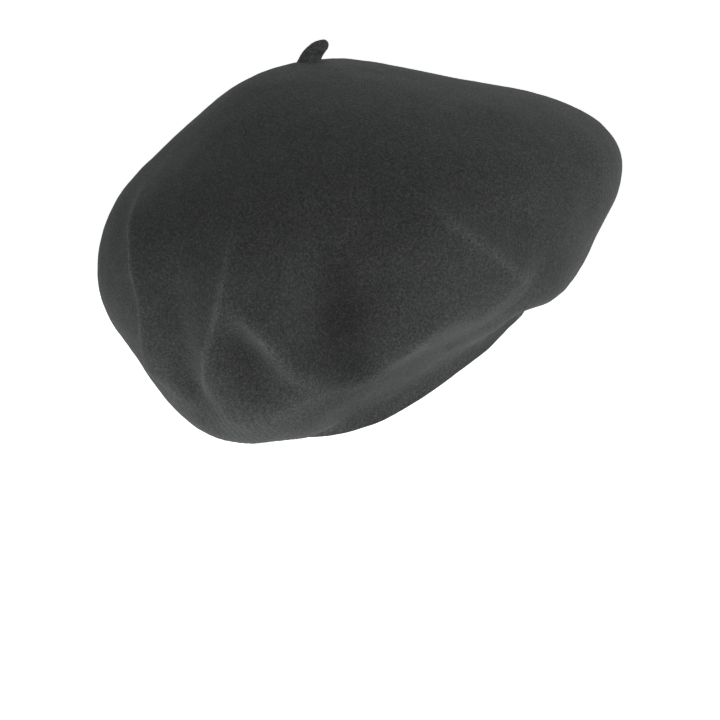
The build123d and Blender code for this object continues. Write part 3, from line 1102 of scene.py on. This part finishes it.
def lining_seam_places():
    """Stitches round the seam between the lining's side and its tip."""
    turns = even_turns(TIP_SEAM_STITCHES)
    reach = STITCH / 2 / TIP_SEAM[2]
    starts = ring_points(TIP_SEAM, turns - reach)
    ends = ring_points(TIP_SEAM, turns + reach)
    inwards = np.array(TIP_SEAM[0]) * MM - ring_points(TIP_SEAM, turns)
    inwards /= np.linalg.norm(inwards, axis=1)[:, None]
    return list(zip(starts, ends, inwards))


row_turns = even_turns(round(oval_length(BAND_IN) / (STITCH_PITCH * MM)))
hem = stitches("band_hem_stitches_visual", wall_row(BAND_RAISE + HEM, row_turns, BAND_IN))
finish_piece(hem, THREAD, "thread", "band_hem_stitches")
top_row = stitches("band_top_stitches_visual", wall_row(BAND_TOP - HEM, row_turns, BAND_IN))
finish_piece(top_row, THREAD, "thread", "band_top_stitches")

bar_step = (BAND_WIDTH - 2 * HEM) / BARS
bars = []
for i in range(BARS):
    bars += wall_row(BAND_RAISE + HEM + bar_step * (i + 0.5), np.array([pi]), BAND_IN, BAR)
finish_piece(stitches("band_seam_stitches_visual", bars), THREAD, "thread", "band_seam_stitches")

label_row_turns = pi / 2 + STITCH_PITCH / BAND_IN[0] * np.array(LABEL_PLACES)
label_rows = []
for level in (LABEL_RAISE + LABEL_MARGIN, LABEL_RAISE + LABEL_HEIGHT - LABEL_MARGIN):
    label_rows += wall_row(level, label_row_turns, LABEL_STITCH_OVAL)
finish_piece(stitches("label_stitches_visual", label_rows), THREAD, "thread", "label_stitches")

tip_seam = stitches("lining_seam_stitches_visual", lining_seam_places())
finish_piece(tip_seam, THREAD, "thread", "lining_seam_stitches")

tacks = frame["nodes"]["stalk_tacks"]
tacks.data.materials.clear()
tacks.data.materials.append(THREAD)

# ---- stage
FLOOR_Z = -0.25
FLOOR_HALF = 30.0
FLOOR_GLOW = 0.64


def floor():
    """White floor that glows, so that it reads as the photo's plain backdrop."""
    mesh = bpy.data.meshes.new("floor")
    corners = ((-1, -1), (1, -1), (1, 1), (-1, 1))
    places = [(x * FLOOR_HALF, y * FLOOR_HALF, FLOOR_Z) for x, y in corners]
    mesh.from_pydata(places, [], [(0, 1, 2, 3)])
    thing = link("floor", mesh)
    material, _, _, shader = new_material("floor")
    shader.inputs["Base Color"].default_value = (0.9, 0.9, 0.9, 1)
    shader.inputs["Roughness"].default_value = 0.9
    shader.inputs["Emission Color"].default_value = (1, 1, 1, 1)
    shader.inputs["Emission Strength"].default_value = FLOOR_GLOW
    mesh.materials.append(material)


floor()


def area_light(name, place, target, size, power):
    """Square lamp that shines from its place to the target."""
    data = bpy.data.lights.new(name, "AREA")
    data.shape = "RECTANGLE"
    data.size = data.size_y = size
    data.energy = power
    lamp = link(name, data)
    lamp.location = place
    lamp.rotation_euler = (Vector(target) - Vector(place)).to_track_quat("-Z", "Y").to_euler()


# Light from all round, stronger towards one side by its slope
SKY_GLOW = 0.42
SKY_SIDE = (-0.6, -0.8, 0)
SKY_SLOPE = 0.3
# Lamps: name, place, target, size in metres, power in watts
LIGHTS = [
    ("back", (1.0, -0.75, 1.0), (0, 0, 0.1), 1.6, 9),  # facing the photo's view, over the crown
    ("side", (-1.2, -1.0, 0.7), (0, 0, 0.05), 1.0, 4.5),  # from the wearer's front right
    ("under", (0.0, 0.13, -0.24), (-0.05, 0.08, 0), 0.25, 0.6),  # up at the underside
]


def world():
    """White sky to the eye; as a light it is dimmer, and slopes from side to side."""
    space = bpy.data.worlds.new("studio")
    bpy.context.scene.world = space
    space.use_nodes = True
    nodes, links = space.node_tree.nodes, space.node_tree.links
    nodes["Background"].inputs["Color"].default_value = (1, 1, 1, 1)
    towards = nodes.new("ShaderNodeVectorMath")
    towards.operation = "DOT_PRODUCT"
    towards.inputs[1].default_value = SKY_SIDE
    links.new(nodes.new("ShaderNodeTexCoord").outputs["Generated"], towards.inputs[0])
    glow = calc(nodes, links, "MULTIPLY", towards.outputs["Value"], SKY_SLOPE)
    links.new(calc(nodes, links, "ADD", glow, SKY_GLOW), nodes["Background"].inputs["Strength"])
    seen = nodes.new("ShaderNodeBackground")
    seen.inputs["Color"].default_value = (1, 1, 1, 1)
    seen.inputs["Strength"].default_value = 1.0
    choice = nodes.new("ShaderNodeMixShader")
    links.new(nodes.new("ShaderNodeLightPath").outputs["Is Camera Ray"], choice.inputs[0])
    links.new(nodes["Background"].outputs[0], choice.inputs[1])
    links.new(seen.outputs[0], choice.inputs[2])
    links.new(choice.outputs[0], nodes["World Output"].inputs["Surface"])


world()
for light in LIGHTS:
    area_light(*light)

# ---- camera
VIEW_TURN = radians(233)
VIEW_RISE = radians(12)
DISTANCE = 1.2
SENSOR = 36.0
FRAME_SPAN = 385 * MM  # width of the picture at the origin
# Where the origin lies in the picture, right of and above its middle
AIM_SIDE = 10 * MM
AIM_UP = -6.2 * MM


def camera():
    """The photo's view, from the back right and a little above."""
    back = Vector((
        sin(VIEW_TURN) * cos(VIEW_RISE), -cos(VIEW_TURN) * cos(VIEW_RISE), sin(VIEW_RISE)
    ))
    data = bpy.data.cameras.new("camera")
    data.sensor_width = SENSOR
    data.lens = SENSOR * DISTANCE / FRAME_SPAN
    data.shift_x = -AIM_SIDE / FRAME_SPAN
    data.shift_y = -AIM_UP / FRAME_SPAN
    data.clip_end = 100
    thing = link("camera", data)
    thing.location = back * DISTANCE
    thing.rotation_euler = back.to_track_quat("Z", "Y").to_euler()
    bpy.context.scene.camera = thing


camera()
bpy.context.scene.view_settings.view_transform = "Standard"
